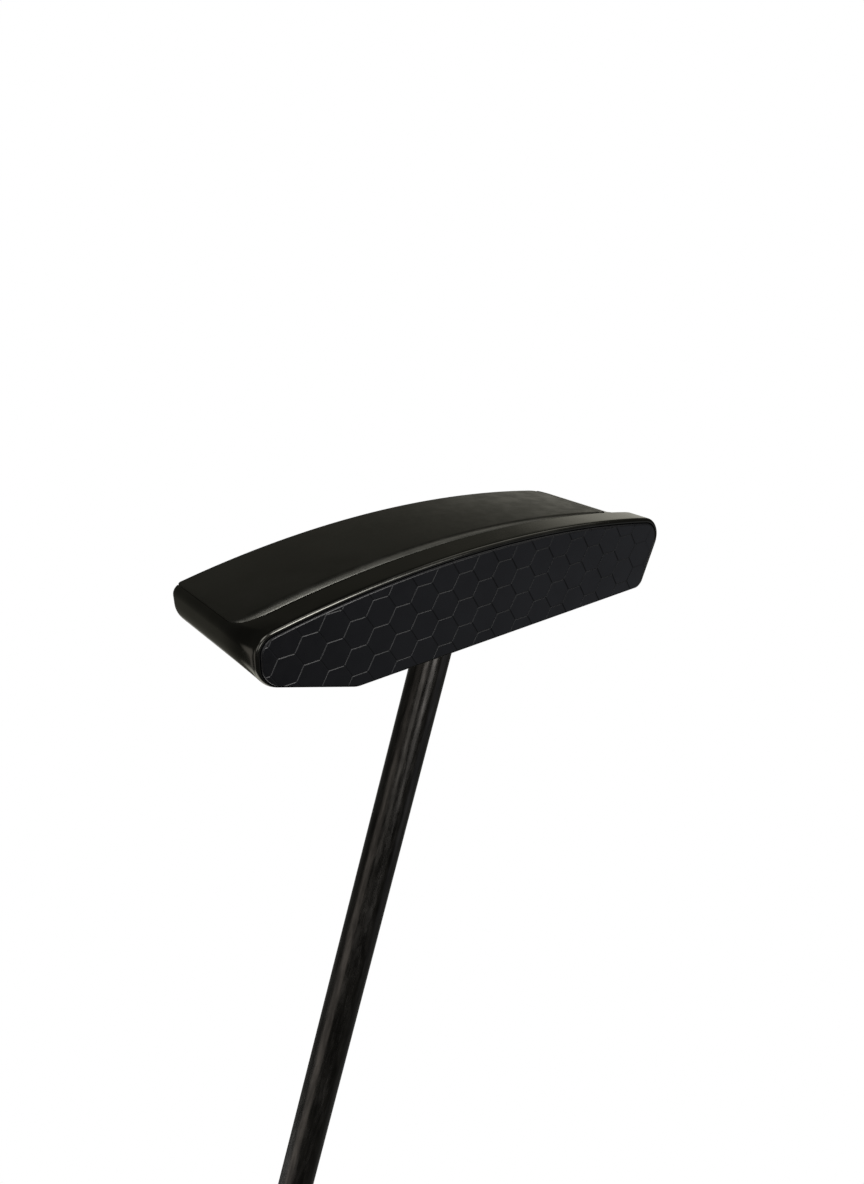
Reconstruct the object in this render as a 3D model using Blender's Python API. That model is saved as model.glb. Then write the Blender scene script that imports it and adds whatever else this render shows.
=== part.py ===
"""Centre-shafted mid-mallet putter with a full-length hexagon-pattern face insert.

The club stands at address: +Z is up, -Y is where the face looks, +X is the heel side (towards the
player) and -X the toe side.  The origin is the lowest point of the sole plate, under the shaft's entry
into the crown.  Lengths below are in millimetres; meshes are written in metres.
"""

import math

import bmesh
import bpy
from mathutils import Vector

MM = 0.001
GAP = 0.3  # clearance kept between pieces that touch in the real club

# Head: outline of the front flange and of the body behind it, seen from the front (x, z)
TOP_Z = 25.4  # crown height over the sole's lowest point
TOE_LEAN = 0.37  # run of the toe end towards the heel, per unit of height
CUT_SLOPE = math.tan(math.radians(18.9))  # the crown falls away towards the heel at this slope
FLANGE_SOLE = (-3.2, 278.5, 0.77)  # camber of the flange's sole: middle x, radius, lowest z
PLATE_SOLE = (0.0, 262.0, 0.0)  # camber of the sole plate
FLANGE = {
    "toe_x": -64.3,
    "toe_radius": 6.0,
    "heel_x": 54.1,
    "heel_z": 6.7,
    "heel_sole_radius": 5.1,
    "heel_crown_radius": 6.3,
    "cut_x": 30.9,
}
BODY = {
    "toe_x": -58.5,
    "toe_radius": 7.0,
    "heel_x": 56.0,
    "heel_z": 5.9,
    "heel_sole_radius": 2.5,
    "heel_crown_radius": 6.7,
    "cut_x": 25.6,
}
CROWN_TOE_RADIUS = 3.0
CROWN_CUT_RADIUS = 6.0

# Head: depth
LOFT = math.radians(3.5)
FACE_Y = -22.0  # the face plane's y at height FACE_Z
FACE_Z = 8.9
RIM_RECESS = 0.3  # the rim stands this far behind the face plane
RIM_FILLET = 0.9
CROWN_RIM_SHARE = 0.3  # the rim is this much slimmer along the crown
FLANGE_BACK_Y = -14.5
BACK_Y = 14.1
BACK_SKEW = 0.0195  # the back edge runs out this much per unit of x towards the heel
BACK_FILLET = 0.6
SOLE_STATIONS = 22  # straight pieces along the flange's sole
BLEND_START = -6.3  # the heel end swells from flange to body between these, as y from FLANGE_BACK_Y
BLEND_END = 6.5
# (y from FLANGE_BACK_Y, shift of the toe end)
FLANGE_STATIONS = ((-4.7, 0.0), (-2.5, 0.0), (-0.7, 0.0), (-0.2, 0.4))
BODY_STATIONS = ((0.05, -1.0), (0.4, -0.3), (1.1, 0.0), (3.5, 0.0), (BLEND_END, 0.0))
REAR_BLEND = ((0.0, 3.0), (0.3, 1.8))  # shift of the toe end, depth in front of the back face
REAR_TOE_SHIFT = 0.8

# Face insert in its pocket
RIM_WIDTH = 1.1
INSERT_THICKNESS = 4.0
INSERT_FILLET = 0.8
BOND_THICKNESS = 0.3

# Sole plate in its pocket
PLATE_TOE_X = -50.5
PLATE_HEEL_X = 54.5
PLATE_THICKNESS = 5.0
PLATE_FILLET = 2.0
PLATE_CORNERS = {"toe_front": 2.2, "heel_front": 3.5, "heel_back": 0.8, "toe_back": 3.0}
PLATE_REAR_SHARE = 0.09  # share of the fillet along the plate's other edges
PLATE_STATIONS = [4.0 * k - 46.0 for k in range(25)]  # x of the plate's facets; the lowest spans x = 0

# Sight line milled in the crown behind the shaft
SIGHT_X = -3.7
SIGHT_WIDTH = 1.2
SIGHT_DEPTH = 0.6
SIGHT_START_Y = 0.5

# Shaft: measured along its own axis from where it enters the crown
LIE = math.radians(70.3)
SHAFT_Y = -8.0
SHAFT_TIP = -16.0
TIP_RADIUS = 4.7
BUTT_RADIUS = 7.35
TAPER_START = 215.0
TAPER_END = 560.0
SHAFT_WALL = 0.5
BORE_RADIUS = 5.6
BORE_BOTTOM = -16.4
CLUB_LENGTH = 863.6  # from the ground to the end of the grip, along the shaft
BUTT_END = CLUB_LENGTH - TOP_Z / math.sin(LIE)

# Grip
GRIP_LENGTH = 267.0
GRIP_MOUTH = BUTT_END - GRIP_LENGTH
COLLAR_LENGTH = 4.0
CAP_THICKNESS = 3.6
TAPE_THICKNESS = 0.25
CORE_BORE_RADIUS = BUTT_RADIUS + GAP + TAPE_THICKNESS + GAP
SKIN_THICKNESS = 1.5
VENT_RADIUS = 1.5
# Grip across its axis at the mouth, and how much it grows to the butt
HALF_WIDTH = (11.5, 3.6)
THUMB_REACH = (10.2, 2.2)
PALM_REACH = (11.2, 4.2)
THUMB_SQUARENESS = 3.4  # superellipse powers
PALM_SQUARENESS = 2.2

SIDES = 32  # facets round each turned piece
FILLET_STEPS = 5
CUTTER_OVERRUN = 4.0  # how far a cutter runs out of the piece that it cuts


def clear_scene():
    for item in list(bpy.data.objects):
        bpy.data.objects.remove(item, do_unlink=True)


def material(name, color, roughness, metallic):
    """A plain Principled material for one piece."""
    made = bpy.data.materials.new(name)
    made.use_nodes = True
    shader = made.node_tree.nodes["Principled BSDF"]
    shader.inputs["Base Color"].default_value = (*color, 1.0)
    shader.inputs["Roughness"].default_value = roughness
    shader.inputs["Metallic"].default_value = metallic
    return made


def make_object(name, points, faces, piece_material=None, parent=None):
    """One closed mesh object from points in millimetres."""
    mesh = bpy.data.meshes.new(name)
    mesh.from_pydata([Vector(p) * MM for p in points], [], faces)
    bm = bmesh.new()
    bm.from_mesh(mesh)
    bmesh.ops.recalc_face_normals(bm, faces=bm.faces)
    bm.to_mesh(mesh)
    bm.free()
    mesh.shade_smooth()
    mesh.set_sharp_from_angle(angle=math.radians(28))
    item = bpy.data.objects.new(name, mesh)
    bpy.context.scene.collection.objects.link(item)
    item.parent = parent
    if piece_material:
        mesh.materials.append(piece_material)
    return item


def cut(item, cutter):
    """Subtract a guide object, which stays in the file as a wire-frame cutter."""
    cutter.hide_render = True
    cutter.display_type = "WIRE"
    boolean = item.modifiers.new(cutter.name, "BOOLEAN")
    boolean.operation = "DIFFERENCE"
    boolean.solver = "EXACT"
    boolean.object = cutter


# ---------------------------------------------------------------- outlines


def stations(start, end, count):
    return [start + (end - start) * k / count for k in range(count + 1)]


def camber(sole, x):
    """Height of a cambered sole at x."""
    middle, radius, lowest = sole
    return lowest + radius - math.sqrt(radius**2 - (x - middle) ** 2)


def fillet(before, corner, after, radius, steps=FILLET_STEPS):
    """Points of the arc that rounds a corner between two straight sides."""
    corner = Vector(corner)
    to_before = (Vector(before) - corner).normalized()
    to_after = (Vector(after) - corner).normalized()
    half_angle = to_before.angle(to_after) / 2
    centre = corner + (to_before + to_after).normalized() * radius / math.sin(half_angle)
    reach = radius / math.tan(half_angle)
    start = (corner + to_before * reach - centre).normalized()
    end = (corner + to_after * reach - centre).normalized()
    return [centre + start.slerp(end, k / steps) * radius for k in range(steps + 1)]


def offset(loop, distances):
    """Move each point of a closed (x, z) or (x, y) loop inwards by its own distance."""
    count = len(loop)
    area = sum(
        loop[i][0] * loop[(i + 1) % count][1] - loop[(i + 1) % count][0] * loop[i][1]
        for i in range(count)
    )
    turn = 1 if area > 0 else -1
    moved = []
    for i, point in enumerate(loop):
        back = (point - loop[i - 1]).normalized()
        ahead = (loop[(i + 1) % count] - point).normalized()
        inward = Vector((-(back.y + ahead.y), back.x + ahead.x)) * turn
        stretch = max(inward.length / 2, 0.5)
        moved.append(point + inward.normalized() * distances[i] / stretch)
    return moved


def blended(run):
    """Head outline dimensions at y run from the flange's back, on the way from flange to body."""
    left = 1 - (run - BLEND_START) / (BLEND_END - BLEND_START)
    return {key: BODY[key] + (FLANGE[key] - BODY[key]) * left**3 for key in FLANGE}


def head_outline(size):
    """The head seen from the front: down the toe end, along the sole, round the heel, over the crown."""
    toe_x = size["toe_x"]
    toe_sole = (toe_x, camber(FLANGE_SOLE, toe_x))
    toe_crown = (toe_x + TOE_LEAN * (TOP_Z - toe_sole[1]), TOP_Z)
    heel_sole = (size["heel_x"], size["heel_z"])
    cut_crown = (size["cut_x"], TOP_Z)
    heel_crown = (size["heel_x"], TOP_Z - CUT_SLOPE * (size["heel_x"] - size["cut_x"]))
    sole_x = stations(toe_x + 10.0, size["heel_x"] - 8.0, SOLE_STATIONS)
    sole = [Vector((x, camber(FLANGE_SOLE, x))) for x in sole_x]
    loop = fillet(cut_crown, toe_crown, toe_sole, CROWN_TOE_RADIUS)
    loop += fillet(toe_crown, toe_sole, sole[0], size["toe_radius"])
    loop += sole
    loop += fillet(sole[-1], heel_sole, heel_crown, size["heel_sole_radius"])
    loop += fillet(heel_sole, heel_crown, cut_crown, size["heel_crown_radius"])
    loop += fillet(heel_crown, cut_crown, toe_crown, CROWN_CUT_RADIUS)
    return loop


def rim_shares(loop):
    """The rim's share of its full width at each point: slim along the crown and the heel's cut."""
    corner = FILLET_STEPS + 1
    easing = [CROWN_RIM_SHARE + (1 - CROWN_RIM_SHARE) * k / FILLET_STEPS for k in range(corner)]
    full = [1.0] * (len(loop) - 3 * corner)
    return easing + full + easing[::-1] + [CROWN_RIM_SHARE] * corner


def face_y(z, depth):
    """y of the surface that lies depth behind the lofted face plane."""
    return FACE_Y + (z - FACE_Z) * math.tan(LOFT) + depth


def back_y(x, depth):
    """y of the surface that lies depth in front of the back face."""
    return BACK_Y + BACK_SKEW * x - depth


def facing(loop, depth):
    return [(p.x, face_y(p.y, depth), p.y) for p in loop]


def level(loop, y):
    return [(p.x, y, p.y) for p in loop]


def rearward(loop, depth):
    return [(p.x, back_y(p.x, depth), p.y) for p in loop]


# ---------------------------------------------------------------- solids


def loft(sections):
    """Points and faces of a skin over closed sections of equal count, with flat ends."""
    count = len(sections[0])
    points = [p for section in sections for p in section]
    faces = [tuple(range(count)), tuple(range(len(points) - count, len(points)))]
    for s in range(len(sections) - 1):
        for i in range(count):
            j = (i + 1) % count
            faces.append((s * count + i, s * count + j, (s + 1) * count + j, (s + 1) * count + i))
    return points, faces


def ring(sections):
    """Points and faces of a closed ring of sections, the last joined to the first."""
    count, total = len(sections[0]), len(sections)
    points = [p for section in sections for p in section]
    faces = []
    for s in range(total):
        t = (s + 1) % total
        for i in range(count):
            j = (i + 1) % count
            faces.append((s * count + i, s * count + j, t * count + j, t * count + i))
    return points, faces


def circle(radius, t):
    angles = [2 * math.pi * k / SIDES for k in range(SIDES)]
    return [(radius * math.cos(a), radius * math.sin(a), t) for a in angles]


def tube(profile):
    """A turned hollow piece from its closed wall profile of (radius, t) points."""
    return ring([circle(radius, t) for radius, t in profile])


def plan_chains(outset, back_run):
    """Front and back edges of the sole plate in plan, toe to heel, with as many points each."""
    toe_x, heel_x = PLATE_TOE_X - outset, PLATE_HEEL_X + outset
    front = FLANGE_BACK_Y - outset
    toe_back = (toe_x, back_y(toe_x, -back_run))
    heel_back = (heel_x, back_y(heel_x, -back_run))
    toe_front, heel_front = (toe_x, front), (heel_x, front)
    radius = {key: value + outset for key, value in PLATE_CORNERS.items()}
    front_chain = fillet(toe_back, toe_front, heel_front, radius["toe_front"])
    front_chain += [Vector((x, front)) for x in PLATE_STATIONS]
    front_chain += fillet(toe_front, heel_front, heel_back, radius["heel_front"])
    back_chain = fillet(toe_front, toe_back, heel_back, radius["toe_back"])
    back_chain += [Vector((x, back_y(x, -back_run))) for x in PLATE_STATIONS]
    back_chain += fillet(toe_back, heel_back, heel_front, radius["heel_back"])
    return front_chain, back_chain


def fillet_shares(count):
    """The plate's fillet is full along its front and almost sharp along its other edges."""
    easing = [PLATE_REAR_SHARE + (1 - PLATE_REAR_SHARE) * k / FILLET_STEPS for k in range(FILLET_STEPS + 1)]
    return easing + [1.0] * (count - 2 * len(easing)) + easing[::-1] + [PLATE_REAR_SHARE] * count


def plate_solid(levels, outset=0.0, back_run=0.0):
    """A plate that follows the sole's camber.

    levels run from low to high.  Each is (fillet inset, fillet rise, height over the camber).
    """
    front, back = plan_chains(outset, back_run)
    count = len(front)
    plan = front + back[::-1]
    shares = fillet_shares(count)
    points, faces = [], []
    for inset, rise, height in levels:
        for p, share in zip(offset(plan, [inset * share for share in shares]), shares):
            points.append((p.x, p.y, camber(PLATE_SOLE, p.x) + rise * share + height))
    size = len(plan)
    for s in range(len(levels) - 1):
        for i in range(size):
            j = (i + 1) % size
            faces.append((s * size + i, s * size + j, (s + 1) * size + j, (s + 1) * size + i))
    top = size * (len(levels) - 1)
    for base in (0, top):
        for i in range(count - 1):
            faces.append((base + i, base + i + 1, base + size - 2 - i, base + size - 1 - i))
    return points, faces


def rounded_edge(radius, steps=3):
    """(inset, rise) pairs of a quarter round, from the flat to the side wall."""
    angles = [math.pi / 2 * k / steps for k in range(steps + 1)]
    return [(radius * (1 - math.sin(a)), radius * (1 - math.cos(a))) for a in angles]


# ---------------------------------------------------------------- head


def flange_sections():
    """The front flange: its rim fillet, then back to the flange's rear corner at the toe."""
    outline = head_outline(FLANGE)
    shares = rim_shares(outline)
    sections = []
    for inset, rise in rounded_edge(RIM_FILLET):
        loop = offset(outline, [inset * share for share in shares])
        sections.append(facing(loop, RIM_RECESS + rise))
    for run, shift in FLANGE_STATIONS:
        size = dict(blended(run), toe_x=FLANGE["toe_x"] + shift, toe_radius=FLANGE["toe_radius"])
        sections.append(level(head_outline(size), FLANGE_BACK_Y + run))
    return sections


def body_sections():
    """The body behind the flange, with a small cove against it and a rounded back edge."""
    sections = []
    for run, shift in BODY_STATIONS:
        size = dict(blended(run), toe_x=BODY["toe_x"] + shift, toe_radius=BODY["toe_radius"])
        sections.append(level(head_outline(size), FLANGE_BACK_Y + run))
    for shift, depth in REAR_BLEND:
        size = dict(BODY, toe_x=BODY["toe_x"] + shift)
        sections.append(rearward(head_outline(size), depth))
    rear = head_outline(dict(BODY, toe_x=BODY["toe_x"] + REAR_TOE_SHIFT))
    for inset, rise in rounded_edge(BACK_FILLET)[::-1]:
        sections.append(rearward(offset(rear, [inset] * len(rear)), rise))
    return sections


def insert_loops():
    """Outline of the insert's pocket and how wide the rim is at each of its points."""
    outline = head_outline(FLANGE)
    return outline, rim_shares(outline)


def head_body(finish, shaft_frame):
    body = make_object("head_body", *loft(flange_sections() + body_sections()), finish)
    outline, shares = insert_loops()
    pocket = offset(outline, [RIM_WIDTH * share for share in shares])
    pocket_depth = INSERT_THICKNESS + GAP + BOND_THICKNESS + GAP
    block = loft([facing(pocket, -CUTTER_OVERRUN), facing(pocket, pocket_depth)])
    cut(body, make_object("cut_insert_pocket", *block))
    ceiling = PLATE_THICKNESS + GAP + BOND_THICKNESS + GAP
    plate_pocket = plate_solid([(0.0, 0.0, -CUTTER_OVERRUN), (0.0, 0.0, ceiling)], GAP, CUTTER_OVERRUN)
    cut(body, make_object("cut_plate_pocket", *plate_pocket))
    bore = loft([circle(BORE_RADIUS, BORE_BOTTOM), circle(BORE_RADIUS, CUTTER_OVERRUN)])
    cut(body, make_object("cut_shaft_bore", *bore, parent=shaft_frame))
    cut(body, make_object("cut_sight_line", *sight_line_block()))
    return body


def sight_line_block():
    low_z, high_z = TOP_Z - SIGHT_DEPTH, TOP_Z + CUTTER_OVERRUN
    low_x, high_x = SIGHT_X - SIGHT_WIDTH / 2, SIGHT_X + SIGHT_WIDTH / 2
    corners = [(low_x, low_z), (high_x, low_z), (high_x, high_z), (low_x, high_z)]
    start, end = SIGHT_START_Y, BACK_Y + CUTTER_OVERRUN
    return loft([[(x, y, z) for x, z in corners] for y in (start, end)])


def face_insert(finish):
    outline, shares = insert_loops()
    sections = []
    for inset, rise in rounded_edge(INSERT_FILLET):
        loop = offset(outline, [(RIM_WIDTH + inset) * share + GAP for share in shares])
        sections.append(facing(loop, rise))
    edge = offset(outline, [RIM_WIDTH * share + GAP for share in shares])
    sections.append(facing(edge, INSERT_THICKNESS))
    return make_object("face_insert", *loft(sections), finish)


def insert_bond(finish):
    outline, shares = insert_loops()
    loop = offset(outline, [RIM_WIDTH * share + 2 * GAP for share in shares])
    near = INSERT_THICKNESS + GAP
    film = loft([facing(loop, near), facing(loop, near + BOND_THICKNESS)])
    return make_object("insert_bond", *film, finish)


def sole_plate(finish):
    levels = [(inset, rise, 0.0) for inset, rise in rounded_edge(PLATE_FILLET)]
    levels.append((0.0, 0.0, PLATE_THICKNESS))
    return make_object("sole_plate", *plate_solid(levels), finish)


def sole_plate_bond(finish):
    near = PLATE_THICKNESS + GAP
    levels = [(0.0, 0.0, near), (0.0, 0.0, near + BOND_THICKNESS)]
    return make_object("sole_plate_bond", *plate_solid(levels, outset=-GAP), finish)


# ---------------------------------------------------------------- shaft


def shaft(finish, frame):
    wall = [
        (TIP_RADIUS, SHAFT_TIP),
        (TIP_RADIUS, TAPER_START),
        (BUTT_RADIUS, TAPER_END),
        (BUTT_RADIUS, BUTT_END - CAP_THICKNESS - GAP),
    ]
    inside = [(radius - SHAFT_WALL, t) for radius, t in wall[::-1]]
    return make_object("shaft", *tube(wall + inside), finish, frame)


def shaft_bond(finish, frame):
    inner, outer = TIP_RADIUS + GAP, BORE_RADIUS - GAP
    bottom, top = SHAFT_TIP + 0.2, -BORE_RADIUS / math.tan(LIE) - 0.2
    profile = [(outer, bottom), (outer, top), (inner, top), (inner, bottom)]
    return make_object("shaft_bond", *tube(profile), finish, frame)


def shaft_tip_plug(finish, frame):
    radius = TIP_RADIUS - SHAFT_WALL - GAP
    length = 7.0
    sections = [circle(radius, SHAFT_TIP + 0.2), circle(radius, SHAFT_TIP + length)]
    return make_object("shaft_tip_plug", *loft(sections), finish, frame)


# ---------------------------------------------------------------- grip


def swell(t):
    """Share of the way from the grip's mouth to its butt, eased at both ends."""
    share = min(max((t - GRIP_MOUTH) / GRIP_LENGTH, 0.0), 1.0)
    return share * share * (3 - 2 * share)


def grip_section(t, inset):
    """The grip across its axis: a flat thumb side towards -x, rounded behind, inset all round."""
    half_width, thumb, palm = (
        mouth + growth * swell(t) - inset for mouth, growth in (HALF_WIDTH, THUMB_REACH, PALM_REACH)
    )
    section = []
    for k in range(SIDES):
        angle = 2 * math.pi * k / SIDES
        c, s = math.cos(angle), math.sin(angle)
        power = 2 / (THUMB_SQUARENESS if c < 0 else PALM_SQUARENESS)
        reach = thumb if c < 0 else palm
        x = math.copysign(abs(c) ** power, c) * reach
        y = math.copysign(abs(s) ** power, s) * half_width
        section.append((x, y, t))
    return section


def grip_sleeve(name, start, end, outer_inset, inner_inset, finish, frame):
    """A sleeve of the grip between two insets; inner_inset None leaves the core's round bore."""
    along = stations(start, end, 12)
    sections = [grip_section(t, outer_inset) for t in along]
    if inner_inset is None:
        sections += [circle(CORE_BORE_RADIUS, t) for t in along[::-1]]
    else:
        sections += [grip_section(t, inner_inset) for t in along[::-1]]
    return make_object(name, *ring(sections), finish, frame)


def grip_tape(finish, frame):
    inner = BUTT_RADIUS + GAP
    outer = inner + TAPE_THICKNESS
    start, end = GRIP_MOUTH + 2.0, BUTT_END - CAP_THICKNESS - GAP
    profile = [(outer, start), (outer, end), (inner, end), (inner, start)]
    return make_object("grip_tape", *tube(profile), finish, frame)


def grip_collar(finish, frame):
    start, end = GRIP_MOUTH - COLLAR_LENGTH, GRIP_MOUTH - GAP
    profile_sections = [
        grip_section(start, 2.2),
        grip_section(start + 1.0, 1.0),
        grip_section(end, 0.4),
        circle(BUTT_RADIUS + GAP, end),
        circle(BUTT_RADIUS + GAP, start),
    ]
    return make_object("grip_collar", *ring(profile_sections), finish, frame)


def grip_end_cap(finish, frame):
    start, end = BUTT_END - CAP_THICKNESS, BUTT_END
    sections = [
        circle(VENT_RADIUS, start),
        grip_section(start, 0.3),
        grip_section(end - 1.2, 0.0),
        grip_section(end - 0.4, 0.5),
        grip_section(end, 1.6),
        circle(VENT_RADIUS, end),
    ]
    return make_object("grip_end_cap", *ring(sections), finish, frame)


# ---------------------------------------------------------------- assembly


def shaft_axis():
    """An empty where the shaft's axis meets the crown, its z running up the shaft."""
    frame = bpy.data.objects.new("shaft_axis", None)
    frame.location = Vector((0.0, SHAFT_Y, TOP_Z)) * MM
    frame.rotation_euler = (0.0, math.pi / 2 - LIE, 0.0)
    bpy.context.scene.collection.objects.link(frame)
    return frame


def build():
    clear_scene()
    frame = shaft_axis()
    bpy.context.view_layer.update()
    anodised = material("olive_black_anodised", (0.030, 0.030, 0.026), 0.32, 0.9)
    oxide = material("satin_black_steel", (0.038, 0.038, 0.033), 0.42, 0.9)
    polymer = material("blue_black_polymer", (0.022, 0.024, 0.030), 0.55, 0.0)
    adhesive = material("adhesive_film", (0.55, 0.55, 0.52), 0.5, 0.0)
    epoxy = material("amber_epoxy", (0.45, 0.33, 0.16), 0.3, 0.0)
    plated = material("black_plated_steel", (0.028, 0.025, 0.024), 0.2, 1.0)
    plug = material("grey_plug", (0.25, 0.25, 0.25), 0.7, 0.0)
    tape = material("white_grip_tape", (0.75, 0.74, 0.70), 0.8, 0.0)
    foam = material("grey_foam", (0.20, 0.20, 0.21), 0.9, 0.0)
    skin = material("black_grip_skin", (0.020, 0.020, 0.021), 0.7, 0.0)
    rubber = material("black_rubber", (0.018, 0.018, 0.018), 0.6, 0.0)

    head_body(anodised, frame)
    face_insert(polymer)
    insert_bond(adhesive)
    sole_plate(oxide)
    sole_plate_bond(adhesive)
    shaft(plated, frame)
    shaft_bond(epoxy, frame)
    shaft_tip_plug(plug, frame)
    grip_tape(tape, frame)
    grip_collar(rubber, frame)
    grip_end_cap(rubber, frame)
    sleeve_end = BUTT_END - CAP_THICKNESS - GAP
    inner_skin = SKIN_THICKNESS + GAP
    grip_sleeve("grip_core", GRIP_MOUTH, sleeve_end, inner_skin, None, foam, frame)
    grip_sleeve("grip_skin", GRIP_MOUTH, sleeve_end, 0.0, SKIN_THICKNESS, skin, frame)


build()
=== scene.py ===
"""Looks of the centre-shafted mid-mallet putter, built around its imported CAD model.

The frame is the CAD's: +Z up with the club soled at address, -Y the way the face looks, +X towards the
heel and the player.  Shapes below are worked out in millimetres and written to meshes in metres.
"""

import math

import bmesh
import bpy
from mathutils import Matrix, Vector


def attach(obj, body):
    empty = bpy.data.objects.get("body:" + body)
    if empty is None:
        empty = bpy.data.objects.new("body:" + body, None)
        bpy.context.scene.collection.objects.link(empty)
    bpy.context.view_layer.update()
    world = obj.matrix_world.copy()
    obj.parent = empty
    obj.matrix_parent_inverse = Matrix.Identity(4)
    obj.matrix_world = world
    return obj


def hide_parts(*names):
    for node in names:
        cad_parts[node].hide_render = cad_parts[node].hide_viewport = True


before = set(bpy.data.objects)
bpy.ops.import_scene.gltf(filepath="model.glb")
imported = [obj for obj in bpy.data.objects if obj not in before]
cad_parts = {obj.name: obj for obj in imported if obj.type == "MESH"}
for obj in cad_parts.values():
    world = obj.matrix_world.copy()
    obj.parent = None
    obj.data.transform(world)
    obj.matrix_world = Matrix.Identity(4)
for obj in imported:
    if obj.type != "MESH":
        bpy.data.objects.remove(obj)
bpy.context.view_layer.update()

MM = 0.001
GAP = 0.3  # clearance between pieces that touch in the real club
SMOOTH_ANGLE = 32.0  # degrees: sharper edges than this are shaded sharp

# ---- head outline, seen from the front (x, z)
TOP_Z = 25.4
TOE_LEAN = 0.37
CUT_SLOPE = math.tan(math.radians(18.9))
FLANGE_SOLE = (-3.2, 278.5, 0.77)  # camber: middle x, radius, lowest z
PLATE_SOLE = (0.0, 262.0, 0.01)  # the same; held just inside the CAD's box
FLANGE = {
    "toe_x": -64.3,
    "toe_radius": 6.0,
    "heel_x": 54.1,
    "heel_z": 6.7,
    "heel_sole_radius": 5.1,
    "heel_crown_radius": 6.3,
    "cut_x": 30.9,
}
BODY = {
    "toe_x": -58.5,
    "toe_radius": 7.0,
    "heel_x": 56.0,
    "heel_z": 5.9,
    "heel_sole_radius": 2.5,
    "heel_crown_radius": 6.7,
    "cut_x": 25.6,
}
CROWN_TOE_RADIUS = 3.0
CROWN_CUT_RADIUS = 6.0
SOLE_FROM_TOE = 10.0  # where the plain camber starts and ends, in from the outline's ends
SOLE_FROM_HEEL = 8.0

# ---- head depth
LOFT = math.radians(3.5)
FACE_CENTRE = Vector((13.2, -22.0, 8.9))  # the middle of one hexagon, on the face plane
RIM_RECESS = 0.3
RIM_FILLET = 0.9
RIM_WIDTH = 1.1
RIM_LIP = 0.15  # rounding of the rim's inner edge
CROWN_RIM_SHARE = 0.3
POCKET_DEPTH = 4.9
POCKET_WALL_TOP = 1.2  # the straight wall's end under the lip
FLANGE_BACK_Y = -14.5
FLANGE_REAR_RADIUS = 0.6
COVE_RADIUS = 1.0
REAR_WALL_RUN = 0.05  # keeps the sections on the two sides of the flange's rear wall apart
BLEND_START = -6.3  # the heel end swells from flange to body between these, as y from FLANGE_BACK_Y
BLEND_END = 6.5
BACK_Y = 14.1
BACK_SKEW = 0.0195
BACK_FILLET = 0.6
BACK_BLEND = ((0.0, 3.0), (0.3, 1.8))  # shift of the toe end, depth in front of the back face
BACK_TOE_SHIFT = 0.8

# ---- insert and sole plate
INSERT_THICKNESS = 4.0
INSERT_FILLET = 0.6
INSERT_SEAM = 0.15  # the seam's width round the insert
INSERT_SMOOTH_ANGLE = 12.0  # under the slope of the groove walls, so that every cell stays flat
HEX_SIDE = 3.8
GROOVE_HALF_WIDTH = 0.17
GROOVE_DEPTH = 0.08
GROOVE_END = 77.0  # u at which the grooves would run out towards the toe
GROOVE_FADE = 14.0  # the stretch before it over which they get shallower
GROOVE_LEAST = 0.12  # the share of their depth that they always keep
SLAB_PROUD = 0.03  # how far the slab of cells stands over the insert's face
CELL_COLUMNS = range(-9, 15)
CELL_ROWS = range(-4, 4)
PLATE_TOE_X = -50.5
PLATE_HEEL_X = 54.5
PLATE_THICKNESS = 5.0
PLATE_FILLET = 2.0
PLATE_REAR_SHARE = 0.09
PLATE_SEAM = 0.08  # the seam's width round the plate
PLATE_MIDDLE = (-46.0, 50.0)  # x of the straight stretch of its long edges
PLATE_POCKET_CEILING = 5.9
PLATE_CORNERS = {"toe_front": 2.2, "heel_front": 3.5, "heel_back": 0.8, "toe_back": 3.0}
SIGHT_LINE = (-4.3, -3.1, TOP_Z - 0.6, 0.5)  # low x, high x, floor z, start y

# ---- shaft, along its own axis from where it enters the crown
LIE = math.radians(70.3)
SHAFT_Y = -8.0
BORE_RADIUS = 5.6
BORE_BOTTOM = -16.4
OVERRUN = 4.0  # how far a cutter reaches past the solid
TURNED_SIDES = 96
TIP_RADIUS = 4.7
BUTT_RADIUS = 7.35
SHAFT_TIP = -16.0
TAPER_START = 215.0
TAPER_END = 560.0
SHAFT_WALL = 0.5
BUTT_END = 863.6 - TOP_Z / math.sin(LIE)

# ---- grip
GRIP_LENGTH = 267.0
GRIP_MOUTH = BUTT_END - GRIP_LENGTH
COLLAR_LENGTH = 4.0
CAP_THICKNESS = 3.6
CAP_SHORT = 0.15  # the cap ends this much early, to stay inside the CAD's box
CAP_ROUND = 1.2
CAP_ROUND_INSET = 1.6
SKIN_THICKNESS = 1.5
VENT_RADIUS = 1.5
HALF_WIDTH = (11.5, 3.6)  # at the mouth, and how much it grows to the butt
THUMB_REACH = (10.2, 2.2)
PALM_REACH = (11.2, 4.2)
THUMB_SQUARENESS = 3.4  # superellipse powers
PALM_SQUARENESS = 2.2
TREAD_DEPTH = 0.35
SEAM_DEPTH = 0.2
RIB_PITCH = 5.0
SLOT_PITCH = 6.5
SLOT_SLANT = 11.0  # millimetres along the grip for each radian round it
COLLAR_FLARE = (  # (distance from the collar's start, inset)
    (0.0, 2.6),
    (0.15, 2.1),
    (0.5, 1.6),
    (1.0, 1.15),
    (1.4, 0.95),
    (1.5, 1.25),
    (1.9, 1.25),
    (2.0, 0.8),
)

# ---- camera, in metres
CAMERA_LENS = 29.02
CAMERA_PLACE = (0.122585, -0.179710, -0.072151)
CAMERA_FORWARD = (-0.5328369, 0.75449351, 0.3831767)
CAMERA_UP = (-0.25002552, 0.29222636, -0.92308775)

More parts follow.
